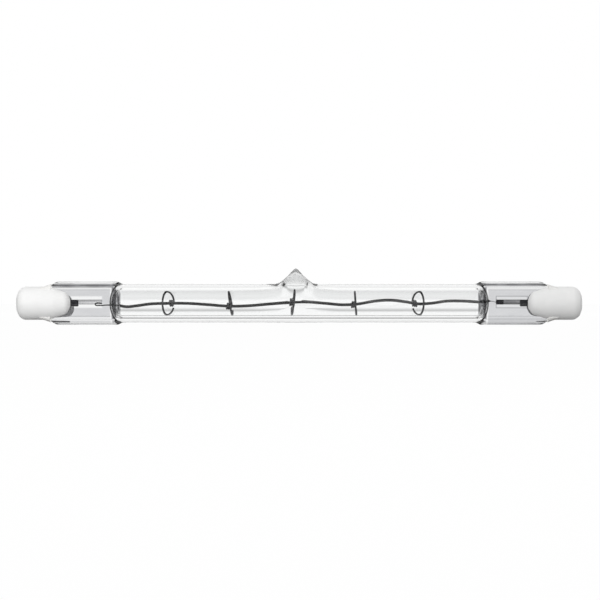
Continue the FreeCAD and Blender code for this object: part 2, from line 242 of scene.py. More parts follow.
# Ceramic caps; a bend is (distance from the end, radius)
CAP_RADIUS = 3.45
CAP_NOSE_FLAT = 1.55
CAP_NOSE_BEND = (0.75, 2.62)
CAP_NOSE_LENGTH = 3.6
CAP_FACE_FLAT = 1.6
CAP_FACE_BEND = (0.45, 2.75)
CAP_FACE_LENGTH = 1.45
CAP_CORNERS = (0, 0.6, 1.8, 3.0, 1.6, 1.6, 0, 0.1, 0.08, 0, 0, 0)
CAP_CORNER_STEPS = 7
CAP_SLOT_HALF = 1.4
CAP_SLOT_FLOOR = 51.8
CAP_SLOT_SPARE = 1.0
CAP_SLOT_REACH = 5.0
CAP_EDGE_BEVEL = 0.12
CAP_BEVEL_SEGMENTS = 3
CAP_BEVEL_ANGLE = 50.0
CAP_TONGUE_SHIFTS = {"left": (0.6, -0.85), "right": (0.1, -0.25)}
CAP_TURN_STEPS = 128
RECESS_RADIUS = 1.5
RECESS_FLOOR = 57.1
LEAD_HOLE_RADIUS = 1.3

# Contacts; the crown is (share of the dome, share of the radius)
CONTACT_RADIUS = 1.25
CONTACT_DOME = 0.18
CONTACT_CROWN = (0.35, 0.72)
CONTACT_FLAT = 0.3
CONTACT_CORNERS = (0, 0.05, 0.15, 0.4, 0.2, 0)
CONTACT_CORNER_STEPS = 6
CONTACT_TURN_STEPS = 64

# Rounded cement in the corners between the seals' ends and the caps
FILLET_START = 51.76
FILLET_LENGTH = 2.1
FILLET_HALF_WIDTH = 2.0
FILLET_BASE = 2.6
FILLET_TOP = 3.95
FILLET_FOOT = 3.35
FILLET_SQUARENESS = 0.67
FILLET_HOLLOW = 1.3
FILLET_STEPS_ROUND = 21
FILLET_STEPS_ALONG = 14

# Studio: levels over directions (0 to 1 is straight to aside; down to up; front to back)
WORLD_ASIDE = ((0.0, 1.0), (0.45, 1.0), (0.65, 0.2), (1.0, 0.12))
WORLD_WALL = ((0.0, 0.0), (0.36, 0.0), (0.44, 1.0), (0.56, 1.0), (0.64, 0.0), (1.0, 0.0))
WORLD_HEIGHT = (
    (0.0, 1.0), (0.06, 1.0), (0.12, 0.85), (0.15, 0.3), (0.228, 0.3), (0.25, 1.0), (0.39, 1.0),
    (0.42, 0.55), (0.435, 0.62), (0.46, 0.95), (0.475, 1.0), (0.525, 1.0), (0.545, 0.86),
    (0.77, 0.86), (0.8, 1.0), (0.95, 1.0), (0.97, 0.4), (1.0, 0.4),
)
WORLD_BACK = ((0.0, 0.0), (0.52, 0.0), (0.56, 1.0), (1.0, 1.0))
WORLD_BACK_LEVEL = 1.2
WORLD_DEPTH = ((0.0, 0.25), (0.5, 0.3), (0.62, 1.0), (1.0, 1.0))
WORLD_DEPTH_IN_GLASS = ((0.0, 0.95), (0.28, 0.95), (0.36, 0.3), (0.5, 0.3), (0.62, 1.0), (1.0, 1.0))
WORLD_CARD_HEIGHT = ((0.0, 0.0), (0.53, 0.0), (0.55, 1.0), (0.66, 1.0), (0.68, 0.0), (1.0, 0.0))
WORLD_CARD_DEPTH = ((0.0, 1.0), (0.06, 1.0), (0.09, 0.0), (1.0, 0.0))
WORLD_CARD_LEVEL = 1.5
WORLD_ENDS = ((0.0, 0.0), (0.75, 0.0), (0.92, 1.0), (1.0, 1.0))
WORLD_ENDS_LEVEL = 0.85
WORLD_BELOW = ((0.0, 1.0), (0.05, 1.0), (0.09, 0.0), (1.0, 0.0))
WORLD_BELOW_LEVEL = 0.95
WORLD_LIGHT = ((0.0, 0.05), (0.45, 0.26), (0.6, 0.6), (1.0, 0.72))

# Floor and lights
FLOOR_HALF = 3.0
FLOOR_COLOUR = 0.35
FLOOR_GLOW = 0.985
FLOOR_GLOW_IN_GLASS = 0.7
KEY_PLACE = (-0.06, -0.5, 0.115)
KEY_SIZE = (0.5, 0.12)
KEY_POWER = 1.2
FILL_PLACE = (-0.065, -0.06, 0.003)
FILL_TARGET = (-0.053, 0.0, 0.004)
FILL_SIZE = (0.05, 0.006)
FILL_POWER = 0.007
BACK_PLACE = (0.05, 0.5, 0.1)
BACK_POWER = 1.1

# Camera
CAMERA_PLACE = (0.000177, -0.540, 0.00517)
CAMERA_LENS = 155.5
CAMERA_SENSOR = 36.0
CAMERA_CLIP = (0.01, 20)


def smooth_max(a, b, width):
    """The larger of two fields, rounded where they meet."""
    return np.maximum(a, b) + np.maximum(width - np.abs(a - b), 0) ** 2 / (4 * width)


def smooth_min(a, b, width):
    """The smaller of two fields, rounded where they meet."""
    return -smooth_max(-a, -b, width)


def signed_power(values, power):
    """Powers of values' sizes, with the values' signs."""
    return np.sign(values) * np.abs(values) ** power


def curve_between(t, span, first, last, first_slope, last_slope):
    """A smooth curve from a first to a last point with given slopes, at shares of the span."""
    start = first * (1 + 2 * t) * (1 - t) ** 2 + first_slope * span * t * (1 - t) ** 2
    end = last * t ** 2 * (3 - 2 * t) + last_slope * span * t ** 2 * (t - 1)
    return start + end


def to_frame(points):
    """Points about the lamp's axis in millimetres, as points of the frame in metres."""
    return (np.asarray(points, float) + (0, 0, AXIS_HEIGHT)) * METRE


def add_object(name, mesh, node=None):
    """Puts a mesh in the scene as a piece of the lamp."""
    piece = bpy.data.objects.new(name, mesh)
    bpy.context.scene.collection.objects.link(piece)
    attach(piece, "root")
    if node:
        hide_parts(node)
    return piece


def make_mesh(name, points, faces, sharp_angle=None):
    """A smooth-shaded mesh from points in millimetres."""
    mesh = bpy.data.meshes.new(name)
    mesh.from_pydata(to_frame(points).tolist(), [], faces)
    mesh.shade_smooth()
    if sharp_angle is not None:
        mesh.set_sharp_from_angle(angle=math.radians(sharp_angle))
    return mesh


def ring_faces(rows, around, start=0, flip=False):
    """Quads between rings of points that follow each other, and a face on each end."""
    faces = []
    for i in range(rows - 1):
        low = start + i * around
        for j in range(around):
            k = (j + 1) % around
            faces.append((low + j, low + k, low + around + k, low + around + j))
    faces.append(tuple(start + j for j in reversed(range(around))))
    faces.append(tuple(start + (rows - 1) * around + j for j in range(around)))
    if flip:
        faces = [tuple(reversed(face)) for face in faces]
    return faces


def tube_field(x, y, z):
    """Negative inside the tube's outside with its rounded crowns."""
    sphere = (TUBE_RADIUS ** 2 + TUBE_CROWN ** 2) / (2 * TUBE_CROWN)
    centre = TUBE_END + TUBE_CROWN - sphere
    radius = np.hypot(y, z)
    crown = np.hypot(np.maximum(np.abs(x) - centre, 0), radius) - sphere
    return smooth_max(radius - TUBE_RADIUS, crown, CROWN_ROUNDING)


def eased(value):
    """A smooth step from 0 to 1."""
    share = np.clip(value, 0, 1)
    return share ** 2 * (3 - 2 * share)


def seal_field(x, y, z):
    """Negative inside either press seal: a web between two rails with bevelled edges."""
    across = np.abs(z)
    rise = eased((across - RISE_FOOT) / RISE_WIDTH)
    bevel = eased((across - BEVEL_FOOT) / BEVEL_WIDTH)
    half = WEB_HALF + (RAIL_HALF - WEB_HALF) * rise - (RAIL_HALF - FLASH_HALF) * bevel
    outline = smooth_max(across - SEAL_HALF_WIDTH, np.abs(x) - SEAL_END, SEAL_CORNER_ROUNDING)
    section = smooth_max(np.abs(y) - half, outline, SEAL_EDGE_ROUNDING)
    return smooth_max(section, SEAL_START - np.abs(x), SEAL_START_ROUNDING)


def cone_field(x, y, z, reach, slope, bluntness, neck, foot):
    """Negative inside an upright post with a blunt cone on it, at the tip's place above a foot."""
    spread = np.sqrt((x - TIP_OFFSET) ** 2 + y ** 2 + bluntness ** 2)
    cone = (spread - (reach - slope * z)) / math.hypot(1, slope)
    post = smooth_max(cone, spread - neck, TIP_NECK_ROUNDING)
    return np.maximum(post, foot - z)


def quartz_field(x, y, z):
    """Negative inside the outside of the tube, its seals and its tip, all blended."""
    body = smooth_min(tube_field(x, y, z), seal_field(x, y, z), SEAL_BLEND)
    tip = cone_field(x, y, z, TIP_REACH, TIP_SLOPE, TIP_BLUNTNESS, TIP_NECK, TIP_FOOT)
    return smooth_min(body, tip, TIP_BLEND)


def void_field(x, y, z):
    """Negative inside the sealed bore with its tapered ends, and the tip's hollow."""
    along = np.abs(x)
    radius = np.hypot(y, z)
    taper = (radius + BORE_SLOPE * (along - BORE_END) - BORE_RADIUS) / math.hypot(1, BORE_SLOPE)
    bore = smooth_max(radius - BORE_RADIUS, taper, BORE_ROUNDING)
    bore = smooth_max(bore, along - BORE_TIP, BORE_ROUNDING)
    tip = cone_field(
        x, y, z, TIP_VOID_REACH, TIP_VOID_SLOPE, TIP_VOID_BLUNTNESS, TIP_VOID_NECK, TIP_VOID_FOOT,
    )
    return smooth_min(bore, tip, TIP_VOID_BLEND)


def surface_rings(field, places, starts, directions):
    """Rings of points where a field turns positive along rays across the lamp."""
    x = np.repeat(np.asarray(places)[:, None], len(starts), axis=1)
    low = np.zeros_like(x)
    high = np.full_like(x, RAY_REACH)
    for _ in range(RAY_HALVINGS):
        middle = (low + high) / 2
        inside = field(x, directions[:, 0] * middle, starts + directions[:, 1] * middle) < 0
        low = np.where(inside, middle, low)
        high = np.where(inside, high, middle)
    return np.stack([x, directions[:, 0] * low, starts + directions[:, 1] * low], axis=-1)


def rays_round_seal():
    """Rays that start along the seal's middle plane: to the front, over the top, back and below."""
    heights = np.linspace(-RAY_START, RAY_START, FACE_RAYS, endpoint=False)
    spread = np.linspace(-1, 1, TOP_RAYS, endpoint=False)
    over = np.pi / 2 - np.pi / 2 * signed_power(spread, TOP_CROWDING)
    under = np.linspace(0, -np.pi, UNDER_RAYS, endpoint=False)
    starts = np.concatenate([
        heights, np.full(len(over), RAY_START), -heights, np.full(len(under), -RAY_START),
    ])
    angles = np.concatenate([
        np.full(len(heights), np.pi), over, np.zeros(len(heights)), under,
    ])
    return starts, np.stack([np.cos(angles), np.sin(angles)], axis=-1)


def mirrored_places(middle, marks, steps):
    """Places along the lamp: steps between marks, the same on both sides, and others in the middle."""
    side = [
        np.linspace(start, end, count, endpoint=False)
        for start, end, count in zip(marks, marks[1:], steps)
    ]
    side = np.concatenate([*side, marks[-1:]])
    return np.concatenate([-side[::-1], middle, side])


def outside_rings():
    """Rings of points on the outside of the quartz, closest at the tip and at the tube's ends."""
    spread = np.linspace(-1, 1, TIP_STEPS)
    tip = TIP_OFFSET + TIP_SPAN * spread * (TIP_EVENNESS + (1 - TIP_EVENNESS) * np.abs(spread))
    places = mirrored_places(tip, OUTSIDE_MARKS, OUTSIDE_STEPS)
    return surface_rings(quartz_field, places, *rays_round_seal())


def void_rings():
    """Rings of points on the bore and the tip's hollow, closest at the tip and the bore's ends."""
    tip = TIP_OFFSET + TIP_VOID_SPAN * np.linspace(-1, 1, TIP_VOID_STEPS)
    places = mirrored_places(tip, VOID_MARKS, VOID_STEPS)
    turn = np.pi / 2 + np.pi * signed_power(np.linspace(-1, 1, BORE_RAYS, endpoint=False), BORE_CROWDING)
    rays = np.stack([-np.cos(turn), np.sin(turn)], axis=-1)
    return surface_rings(void_field, places, np.zeros(len(turn)), rays)


def quartz_envelope():
    """The fused quartz: its outside, and the sealed void inside it."""
    outside = outside_rings()
    void = void_rings()
    points = np.concatenate([outside.reshape(-1, 3), void.reshape(-1, 3)])
    faces = ring_faces(*outside.shape[:2], flip=True)
    faces += ring_faces(*void.shape[:2], start=outside.shape[0] * outside.shape[1])
    mesh = make_mesh("quartz", points, faces, QUARTZ_SHARP)
    return add_object("quartz", mesh, "quartz_envelope")


def coil_height(x):
    """The height of the coil's middle line: a smooth curve through its points."""
    places = np.array([p[0] for p in COIL_POINTS])
    heights = np.array([p[1] for p in COIL_POINTS])
    slopes = np.gradient(heights, places)
    i = np.clip(np.searchsorted(places, x) - 1, 0, len(places) - 2)
    span = places[i + 1] - places[i]
    t = (x - places[i]) / span
    return curve_between(t, span, heights[i], heights[i + 1], slopes[i], slopes[i + 1])


def swept_tube(path, radius, sides):
    """Points and faces of a round wire along a path of points."""
    path = np.asarray(path, float)
    tangent = np.gradient(path, axis=0)
    tangent /= np.linalg.norm(tangent, axis=1)[:, None]
    first = np.zeros_like(path)
    steep = abs(tangent[0][1]) >= STEEP_START
    guide = np.array([1.0, 0.0, 0.0]) if steep else np.array([0.0, 1.0, 0.0])
    for i, along in enumerate(tangent):
        guide = guide - along * np.dot(guide, along)
        guide /= np.linalg.norm(guide)
        first[i] = guide
    second = np.cross(tangent, first)
    angle = np.linspace(0, 2 * np.pi, sides, endpoint=False)
    cosine = np.cos(angle)[None, :, None]
    sine = np.sin(angle)[None, :, None]
    ring = first[:, None, :] * cosine + second[:, None, :] * sine
    points = path[:, None, :] + ring * radius
    return points.reshape(-1, 3), ring_faces(len(path), sides)


def filament_coil():
    """The coil's fine wire, wound along the wavy middle line."""
    turns = 2 * COIL_END / COIL_PITCH
    angle = np.linspace(0, 2 * np.pi * turns, int(turns * COIL_TURN_STEPS))
    x = -COIL_END + COIL_WIRE + (2 * COIL_END - 2 * COIL_WIRE) * np.linspace(0, 1, len(angle))
    reach = COIL_RADIUS - COIL_WIRE
    path = np.stack([x, reach * np.cos(angle), coil_height(x) + reach * np.sin(angle)], axis=-1)
    points, faces = swept_tube(path, COIL_WIRE, COIL_WIRE_SIDES)
    mesh = make_mesh("coil", points, faces)
    return add_object("coil", mesh, "filament_coil")


def wire_support(index):
    """One support: a ring in the bore, an arm, and a few turns round the coil."""
    place = SUPPORT_PLACES[index]
    run = SUPPORT_RUNS[index]
    yaw = math.radians(SUPPORT_YAWS[index])
    lean = math.radians(SUPPORT_LEANS[index])
    across = Vector((math.sin(yaw), math.cos(yaw), 0))
    normal = across.cross(Vector((-math.sin(lean), 0, math.cos(lean)))).normalized()
    up = normal.cross(across)
    centre = Vector((place, 0, 0))
    height = float(coil_height(np.array(place)))

    turn = np.linspace(SUPPORT_GRIP_TURNS * 2 * np.pi, 0, SUPPORT_GRIP_STEPS, endpoint=False)
    grip_start = place + across.x * SUPPORT_GRIP
    x = grip_start + run * SUPPORT_GRIP_PITCH * turn / (2 * np.pi)
    grip = np.stack([
        x, SUPPORT_GRIP * np.cos(turn), coil_height(x) + run * SUPPORT_GRIP * np.sin(turn),
    ], axis=-1)

    elbow_height = height + SUPPORT_ELBOW
    ring_start = math.asin(elbow_height / (SUPPORT_RING - SUPPORT_ELBOW))
    elbow_across = (SUPPORT_RING - SUPPORT_ELBOW) * math.cos(ring_start)
    arm = [
        (SUPPORT_GRIP + (elbow_across - SUPPORT_GRIP) * t, height)
        for t in np.linspace(SUPPORT_ARM_START, 1, SUPPORT_ARM_STEPS)
    ]
    elbow = [
        (elbow_across + SUPPORT_ELBOW * math.cos(a), elbow_height + SUPPORT_ELBOW * math.sin(a))
        for a in np.linspace(-math.pi / 2, ring_start, SUPPORT_ELBOW_STEPS)[1:]
    ]
    ring = [
        (SUPPORT_RING * math.cos(a), SUPPORT_RING * math.sin(a))
        for a in ring_start + np.linspace(0, math.radians(SUPPORT_SWEEP), SUPPORT_RING_STEPS)[1:]
    ]
    plane = [tuple(centre + across * u + up * v) for u, v in arm + elbow + ring]
    path = np.concatenate([grip, np.array(plane)])
    points, faces = swept_tube(path, SUPPORT_WIRE, WIRE_SIDES)
    mesh = make_mesh(f"support_{index + 1}", points, faces, THIN_SHARP)
    return add_object(f"support_{index + 1}", mesh, f"filament_support_{index + 1}")


def outward(mesh):
    """Turns every face of a closed mesh outwards."""
    shape = bmesh.new()
    shape.from_mesh(mesh)
    bmesh.ops.recalc_face_normals(shape, faces=shape.faces)
    shape.to_mesh(mesh)
    shape.free()
    return mesh


def seal_foil(side, sign):
    """A foil with feathered edges, a little tilted, and curled across its width."""
    across = np.linspace(-1, 1, FOIL_STEPS_ACROSS)
    half = FOIL_HALF_THICKNESS * (FOIL_EDGE + (1 - FOIL_EDGE) * (1 - across ** 2))
    heights = FOIL_RISE + FOIL_HALF_WIDTH * across
    tilt = math.tan(math.radians(FOIL_TILTS[side]))
    bow = FOIL_CURL * across ** 2 + tilt * FOIL_HALF_WIDTH * across
    ring = [(b - h, z) for b, h, z in zip(bow, half, heights)]
    ring += [(b + h, z) for b, h, z in reversed(list(zip(bow, half, heights)))]
    places = np.linspace(FOIL_START, FOIL_END, FOIL_STEPS_ALONG)
    points = [(sign * x, y, z) for x in places for y, z in ring]
    mesh = make_mesh(f"{side}_foil", points, ring_faces(len(places), len(ring)), THIN_SHARP)
    return add_object(f"{side}_foil", outward(mesh), f"{side}_seal_foil")


def flattened_wire(name, stations, sign, node):
    """A wire along the lamp whose section goes from round to flat between its stations."""
    stations = np.array(stations)
    x = np.unique(np.concatenate([
        np.linspace(a, b, LEAD_STEPS) for a, b in zip(stations[:-1, 0], stations[1:, 0])
    ]))
    across, height, thin, wide = (np.interp(x, stations[:, 0], stations[:, k]) for k in range(1, 5))
    angle = np.linspace(0, 2 * np.pi, LEAD_SIDES, endpoint=False)
    squareness = np.clip(thin / wide, LEAD_SQUAREST, 1)[:, None]
    points = np.stack([
        np.repeat(sign * x[:, None], LEAD_SIDES, axis=1),
        across[:, None] + thin[:, None] * signed_power(np.cos(angle), squareness),
        height[:, None] + wide[:, None] * signed_power(np.sin(angle), squareness),
    ], axis=-1)
    mesh = make_mesh(name, points.reshape(-1, 3), ring_faces(len(x), LEAD_SIDES), LEAD_SHARP)
    return add_object(name, outward(mesh), node)


def smooth_path(points, steps):
    """Points on a smooth curve through the given ones."""
    points = np.array(points)
    along = np.concatenate([[0], np.cumsum(np.linalg.norm(np.diff(points, axis=0), axis=1))])
    slopes = np.gradient(points, along, axis=0)
    out = []
    for i in range(len(points) - 1):
        span = along[i + 1] - along[i]
        for t in np.linspace(0, 1, steps, endpoint=False):
            out.append(curve_between(t, span, points[i], points[i + 1], slopes[i], slopes[i + 1]))
    return np.array(out + [points[-1]])


def hairpin_lead():
    """The left inner lead, whose end is folded back on the foil."""
    points, faces = swept_tube(smooth_path(HAIRPIN, HAIRPIN_STEPS), HAIRPIN_WIRE, WIRE_SIDES)
    mesh = make_mesh("left_lead_inside", points, faces, THIN_SHARP)
    return add_object("left_lead_inside", mesh, "left_inner_lead")


def turned(profile, steps, sign):
    """Points and faces of a profile of (along, out) points, turned about the lamp's axis."""
    angle = np.linspace(0, 2 * np.pi, steps, endpoint=False)
    points = []
    for along, out in profile:
        for a in angle:
            points.append((sign * along, out * math.cos(a), out * math.sin(a) * sign))
    return points, ring_faces(len(profile), steps)


def rounded_corners(profile, radii, steps):
    """A profile with arcs in place of its corners."""
    points = [Vector(p) for p in profile]
    out = []
    for i, corner in enumerate(points):
        if radii[i] == 0:
            out.append(tuple(corner))
            continue
        before = (points[i - 1] - corner).normalized()
        after = (points[i + 1] - corner).normalized()
        half = before.angle(after) / 2
        reach = radii[i] / math.tan(half)
        centre = corner + (before + after).normalized() * (radii[i] / math.sin(half))
        first = corner + before * reach - centre
        last = corner + after * reach - centre
        for t in np.linspace(0, 1, steps):
            arm = (first * (1 - t) + last * t).normalized() * radii[i]
            out.append(tuple(centre + arm))
    return out


def evaluated_mesh(piece, name):
    """The piece's mesh with its modifiers applied."""
    view = bpy.context.evaluated_depsgraph_get()
    mesh = bpy.data.meshes.new_from_object(piece.evaluated_get(view))
    mesh.name = name
    return mesh


def box_mesh(name, low, high):
    """A box between two corners in millimetres."""
    mesh = bpy.data.meshes.new(name)
    shape = bmesh.new()
    bmesh.ops.create_cube(shape, size=1)
    low = Vector(to_frame(low))
    high = Vector(to_frame(high))
    bmesh.ops.scale(shape, vec=high - low, verts=shape.verts)
    bmesh.ops.translate(shape, vec=(low + high) / 2, verts=shape.verts)
    shape.to_mesh(mesh)
    shape.free()
    return mesh


def shift_back_tongue(mesh, inwards, upwards):
    """Shifts the tongue behind the slot, most at its nose, so that it shows past the front one."""
    for vertex in mesh.vertices:
        away = CAP_SLOT_FLOOR - abs(vertex.co.x) / METRE
        if vertex.co.y > 0 and away > 0:
            share = METRE * away / (CAP_SLOT_FLOOR - CAP_NOSE)
            vertex.co.x -= math.copysign(inwards, vertex.co.x) * share
            vertex.co.z += upwards * share


def cap_outline():
    """The cap's profile from its nose over its face and into its recess, with rounded corners."""
    nose_bend, nose_bend_radius = CAP_NOSE_BEND
    face_bend, face_bend_radius = CAP_FACE_BEND
    outline = [
        (CAP_NOSE, NEAR_AXIS),
        (CAP_NOSE, CAP_NOSE_FLAT),
        (CAP_NOSE + nose_bend, nose_bend_radius),
        (CAP_NOSE + CAP_NOSE_LENGTH, CAP_RADIUS),
        (CAP_END - CAP_FACE_LENGTH, CAP_RADIUS),
        (CAP_END - face_bend, face_bend_radius),
        (CAP_END, CAP_FACE_FLAT),
        (CAP_END, RECESS_RADIUS),
        (RECESS_FLOOR, RECESS_RADIUS),
        (RECESS_FLOOR, LEAD_HOLE_RADIUS),
        (CONTACT_BACK, LEAD_HOLE_RADIUS),
        (CONTACT_BACK, NEAR_AXIS),
    ]
    return rounded_corners(outline, CAP_CORNERS, CAP_CORNER_STEPS)


def slot_box(sign):
    """The box that cuts a cap's slot, with room to spare past the cap's nose and sides."""
    start, end = sorted((sign * (CAP_NOSE - CAP_SLOT_SPARE), sign * CAP_SLOT_FLOOR))
    low = (start, -CAP_SLOT_HALF, -CAP_SLOT_REACH)
    high = (end, CAP_SLOT_HALF, CAP_SLOT_REACH)
    return box_mesh("slot", low, high)


def end_cap(side, sign):
    """A slotted ceramic cap with a rounded nose and face, and the recess of its contact."""
    points, faces = turned(cap_outline(), CAP_TURN_STEPS, sign)
    blank = bpy.data.objects.new("cap_blank", make_mesh("cap_blank", points, faces))
    cutter = bpy.data.objects.new("slot", slot_box(sign))
    for each in (blank, cutter):
        bpy.context.scene.collection.objects.link(each)
    cut = blank.modifiers.new("slot", "BOOLEAN")
    cut.operation = "DIFFERENCE"
    cut.solver = "EXACT"
    cut.object = cutter
    soften = blank.modifiers.new("soften", "BEVEL")
    soften.width = CAP_EDGE_BEVEL * METRE
    soften.segments = CAP_BEVEL_SEGMENTS
    soften.limit_method = "ANGLE"
    soften.angle_limit = math.radians(CAP_BEVEL_ANGLE)
    mesh = evaluated_mesh(blank, f"{side}_cap")
    shift_back_tongue(mesh, *CAP_TONGUE_SHIFTS[side])
    mesh.shade_smooth()
    mesh.set_sharp_from_angle(angle=math.radians(TURNED_SHARP))
    for each in (blank, cutter):
        bpy.data.objects.remove(each)
    return add_object(f"{side}_cap", mesh, f"{side}_end_cap")


def cement_fillets(side, sign):
    """Cement smoothed from the top and bottom corners of the seal's end down to the cap."""
    angle = np.linspace(0, np.pi, FILLET_STEPS_ROUND)
    across = FILLET_HALF_WIDTH * signed_power(np.cos(angle), FILLET_SQUARENESS)
    rise = np.abs(np.sin(angle)) ** FILLET_SQUARENESS
    shares = np.linspace(0, 1, FILLET_STEPS_ALONG)
    points = []
    faces = []
    for up in (1, -1):
        faces += ring_faces(len(shares), len(angle), start=len(points))
        for share in shares:
            along = FILLET_START + FILLET_LENGTH * share
            top = FILLET_FOOT + (FILLET_TOP - FILLET_FOOT) * (1 - share) ** FILLET_HOLLOW
            for y, part in zip(across, rise):
                points.append((sign * along, y, up * (FILLET_BASE + (top - FILLET_BASE) * part)))
    mesh = make_mesh(f"{side}_fillets", points, faces, THIN_SHARP)
    return add_object(f"{side}_fillets", outward(mesh))


def contact_button(side, sign):
    """A contact with a softly domed face and a rounded edge."""
    crown_drop, crown_share = CONTACT_CROWN
    outline = [
        (CONTACT_BACK, NEAR_AXIS),
        (CONTACT_BACK, CONTACT_RADIUS),
        (RECESS_FLOOR - CONTACT_DOME, CONTACT_RADIUS),
        (RECESS_FLOOR - CONTACT_DOME * crown_drop, CONTACT_RADIUS * crown_share),
        (RECESS_FLOOR, CONTACT_FLAT),
        (RECESS_FLOOR, NEAR_AXIS),
    ]
    profile = rounded_corners(outline, CONTACT_CORNERS, CONTACT_CORNER_STEPS)
    points, faces = turned(profile, CONTACT_TURN_STEPS, sign)
    mesh = make_mesh(f"{side}_button", points, faces, TURNED_SHARP)
    return add_object(f"{side}_button", mesh, f"{side}_contact")


def new_material(name):
    """A material with its node tree and shader, and a coordinate node that stays with the object."""
    material = bpy.data.materials.new(name)
    material.use_nodes = True
    tree = material.node_tree
    shader = tree.nodes["Principled BSDF"]
    place = tree.nodes.new("ShaderNodeTexCoord")
    return material, tree, shader, place


def noise(tree, place, scale, detail, roughness, stretch=(1, 1, 1)):
    """A noise texture in the object's own coordinates, stretched along its axes."""
    mapping = tree.nodes.new("ShaderNodeMapping")
    mapping.inputs["Scale"].default_value = stretch
    texture = tree.nodes.new("ShaderNodeTexNoise")
    texture.inputs["Scale"].default_value = scale
    texture.inputs["Detail"].default_value = detail
    texture.inputs["Roughness"].default_value = roughness
    tree.links.new(place.outputs["Object"], mapping.inputs["Vector"])
    tree.links.new(mapping.outputs["Vector"], texture.inputs["Vector"])
    return texture.outputs["Fac"]


def ramp(tree, value, stops):
    """A colour ramp over a value, from (place, colour) stops."""
    node = tree.nodes.new("ShaderNodeValToRGB")
    node.color_ramp.elements[0].position = stops[0][0]
    node.color_ramp.elements[0].color = (*stops[0][1], 1)
    node.color_ramp.elements[1].position = stops[-1][0]
    node.color_ramp.elements[1].color = (*stops[-1][1], 1)
    for position, colour in stops[1:-1]:
        node.color_ramp.elements.new(position).color = (*colour, 1)
    tree.links.new(value, node.inputs["Fac"])
    return node.outputs["Color"]


def spread_value(tree, value, low, high, start=0.0):
    """A value from a start to 1, spread over a range."""
    node = tree.nodes.new("ShaderNodeMapRange")
    node.inputs["From Min"].default_value = start
    node.inputs["To Min"].default_value = low
    node.inputs["To Max"].default_value = high
    tree.links.new(value, node.inputs["Value"])
    return node.outputs["Result"]


def math_node(tree, operation, first, second=None):
    """The result of one operation on values or sockets, kept between 0 and 1."""
    node = tree.nodes.new("ShaderNodeMath")
    node.operation = operation
    node.use_clamp = True
    for socket, value in zip(node.inputs, (first, second)):
        if value is None:
            continue
        if isinstance(value, (int, float)):
            socket.default_value = value
        else:
            tree.links.new(value, socket)
    return node.outputs[0]


def level_ramp(tree, value, stops):
    """A grey level over a value from 0 to 1, from (place, level) stops."""
    return ramp(tree, value, [(place, (level, level, level)) for place, level in stops])


def mixed(tree, share, first, second):
    """A value between two others."""
    node = tree.nodes.new("ShaderNodeMix")
    tree.links.new(share, node.inputs["Factor"])
    for socket, value in zip((node.inputs["A"], node.inputs["B"]), (first, second)):
        if isinstance(value, (int, float)):
            socket.default_value = value
        else:
            tree.links.new(value, socket)
    return node.outputs["Result"]


def bump(tree, shader, height, strength, distance):
    """Gives a shader fine relief from a height."""
    node = tree.nodes.new("ShaderNodeBump")
    node.inputs["Strength"].default_value = strength
    node.inputs["Distance"].default_value = distance
    tree.links.new(height, node.inputs["Height"])
    tree.links.new(node.outputs["Normal"], shader.inputs["Normal"])


def beyond(tree, value, middle, reach, edge):
    """0 within a reach of a middle place and 1 beyond it, with a soft edge, all in millimetres."""
    offset = tree.nodes.new("ShaderNodeMath")
    offset.operation = "SUBTRACT"
    tree.links.new(value, offset.inputs[0])
    offset.inputs[1].default_value = middle * METRE
    size = math_node(tree, "ABSOLUTE", offset.outputs[0])
    node = tree.nodes.new("ShaderNodeMapRange")
    node.interpolation_type = "SMOOTHSTEP"
    node.inputs["From Min"].default_value = (reach - edge) * METRE
    node.inputs["From Max"].default_value = (reach + edge) * METRE
    tree.links.new(size, node.inputs["Value"])
    return node.outputs["Result"]


def separated(tree, place):
    """The three coordinates of a place in the object's own space."""
    split = tree.nodes.new("ShaderNodeSeparateXYZ")
    tree.links.new(place.outputs["Object"], split.inputs[0])
    return split.outputs


def web_shade(tree, place, aside, height, right, seal):
    """How dark the pressed webs are: a clearer pad over each foil, and a line round the right one."""
    off_web = beyond(tree, height, AXIS_HEIGHT, PRESSED_WIDTH, PRESSED_EDGE)
    off_pad_along = beyond(tree, aside, PAD_MIDDLE, PAD_REACH, PRESSED_EDGE)
    off_pad_across = beyond(tree, height, AXIS_HEIGHT + PAD_RISE, PAD_HALF, PRESSED_EDGE)
    off_pad = math_node(tree, "MAXIMUM", off_pad_along, off_pad_across)
    pad = mixed(tree, right, *PAD_SHADES)
    streaks = noise(tree, place, scale=700, detail=3.0, roughness=0.6, stretch=(0.25, 1, 1))
    streaks = spread_value(tree, streaks, low=0.7, high=1.2)
    web = mixed(tree, off_web, seal, 0.0)
    web = math_node(tree, "MULTIPLY", web, mixed(tree, off_pad, pad, 1.0))
    web = math_node(tree, "MULTIPLY", web, streaks)
    web = math_node(tree, "MULTIPLY", web, WEB_SHADE)
    pad_line = math_node(tree, "PINGPONG", off_pad, 0.5)
    pad_line = math_node(tree, "MULTIPLY", pad_line, 2 * PAD_LINE_SHADE)
    pad_line = mixed(tree, right, 0.0, pad_line)
    return math_node(tree, "ADD", web, pad_line)


